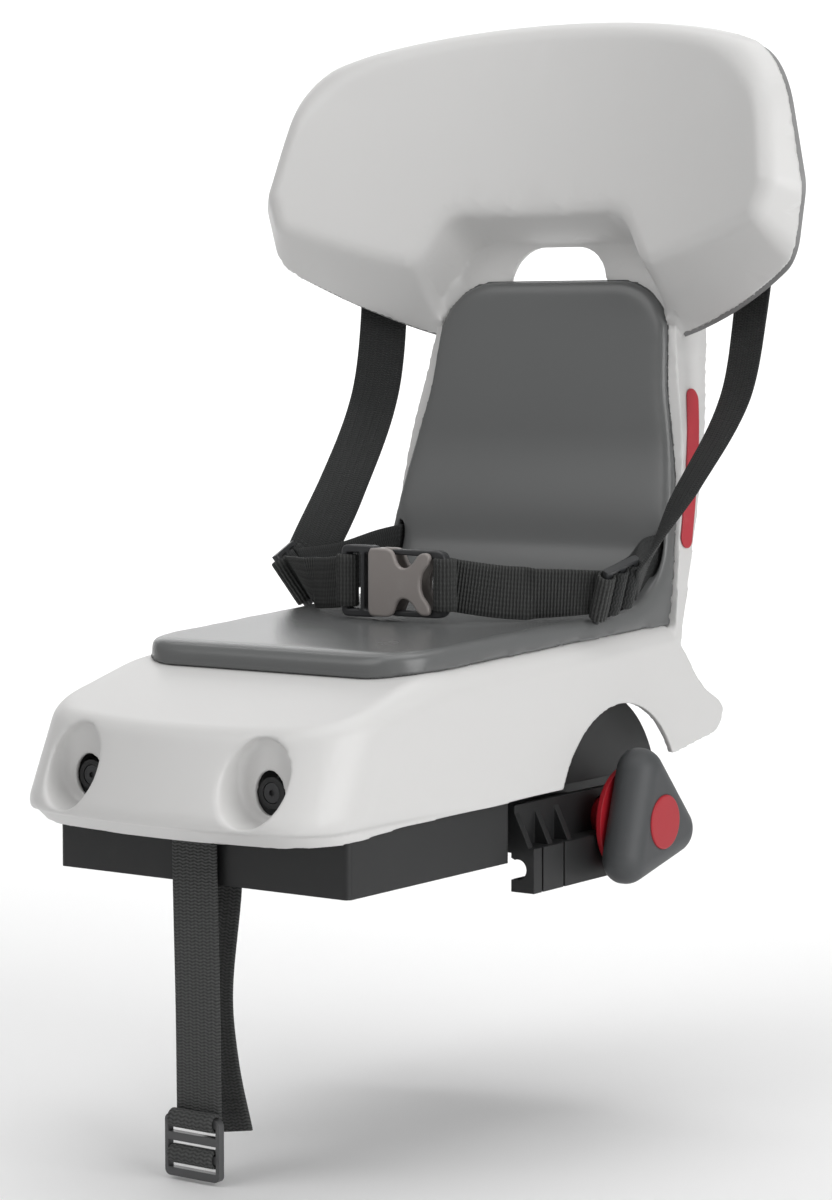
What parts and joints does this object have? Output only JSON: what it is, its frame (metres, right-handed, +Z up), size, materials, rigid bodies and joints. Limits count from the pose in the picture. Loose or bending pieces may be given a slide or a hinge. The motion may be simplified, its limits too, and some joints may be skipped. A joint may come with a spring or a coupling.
{
  "type": "child bike seat",
  "caption": "Child seat for a bicycle's luggage carrier: moulded shell with headrest, pad, harness with buckle, and a base with rail clamps worked by a knob.",
  "frame": {"origin": "on the flat underside of the base, in the centre plane, below the axis of the clamp bolt", "axes": "+Z up, the rider faces -Y, the rider's left is +X, where the knob is"},
  "size_m": [0.3432, 0.3897, 0.5723],
  "materials": {
    "shell": "satin",
    "cover": "satin",
    "pad": "satin",
    "base": "satin",
    "knob": "matte",
    "red": "satin",
    "webbing": "woven",
    "fitting": "satin",
    "buckle": "satin",
    "steel": "zinc plated"
  },
  "bodies": {
    "seat": {"back_cover_screws": "steel", "base_screws": "steel", "bolt_washer": "steel", "buckle_socket": "buckle", "carrier_base": "base", "clamp_bolt": "steel", "clamp_jaw_right": "base", "front_screws": "steel", "headrest_back_cover": "cover", "hip_anchor_pins": "steel", "hip_strap_left": "webbing", "hip_strap_right": "webbing", "jaw_screws": "steel", "ladder_lock": "fitting", "safety_strap": "webbing", "seat_pad": "pad", "seat_shell": "shell", "shoulder_anchor_pins": "steel", "shoulder_strap_left": "webbing", "shoulder_strap_right": "webbing", "side_badge": "red", "strap_slider_left": "fitting", "strap_slider_right": "fitting", "waist_strap_left": "webbing", "waist_strap_right": "webbing"},
    "clamp_jaw": {"clamp_jaw_left": "base", "knob_washer": "steel"},
    "knob": {"knob_body": "knob", "knob_collar": "red", "knob_cap": "red", "knob_nut": "steel"},
    "buckle": {"buckle_tongue": "fitting"}
  },
  "joints": [
    {"name": "jaw_slide", "type": "slide", "parent": "seat", "child": "clamp_jaw", "axis": [1, 0, 0], "range_m": [0, 0.01]},
    {"name": "knob_turn", "type": "hinge", "parent": "clamp_jaw", "child": "knob", "pos_m": [0.1, 0, 0.012], "axis": [1, 0, 0], "range_deg": [0, 2880]},
    {"name": "buckle_release", "type": "slide", "parent": "seat", "child": "buckle", "axis": [1, 0, 0], "range_m": [0, 0.024], "deforming": ["waist_strap_left"]}
  ],
  "couplings": [
    {"joint": "jaw_slide", "follows": "knob_turn", "m_per_rad": 0.00019892}
  ]
}
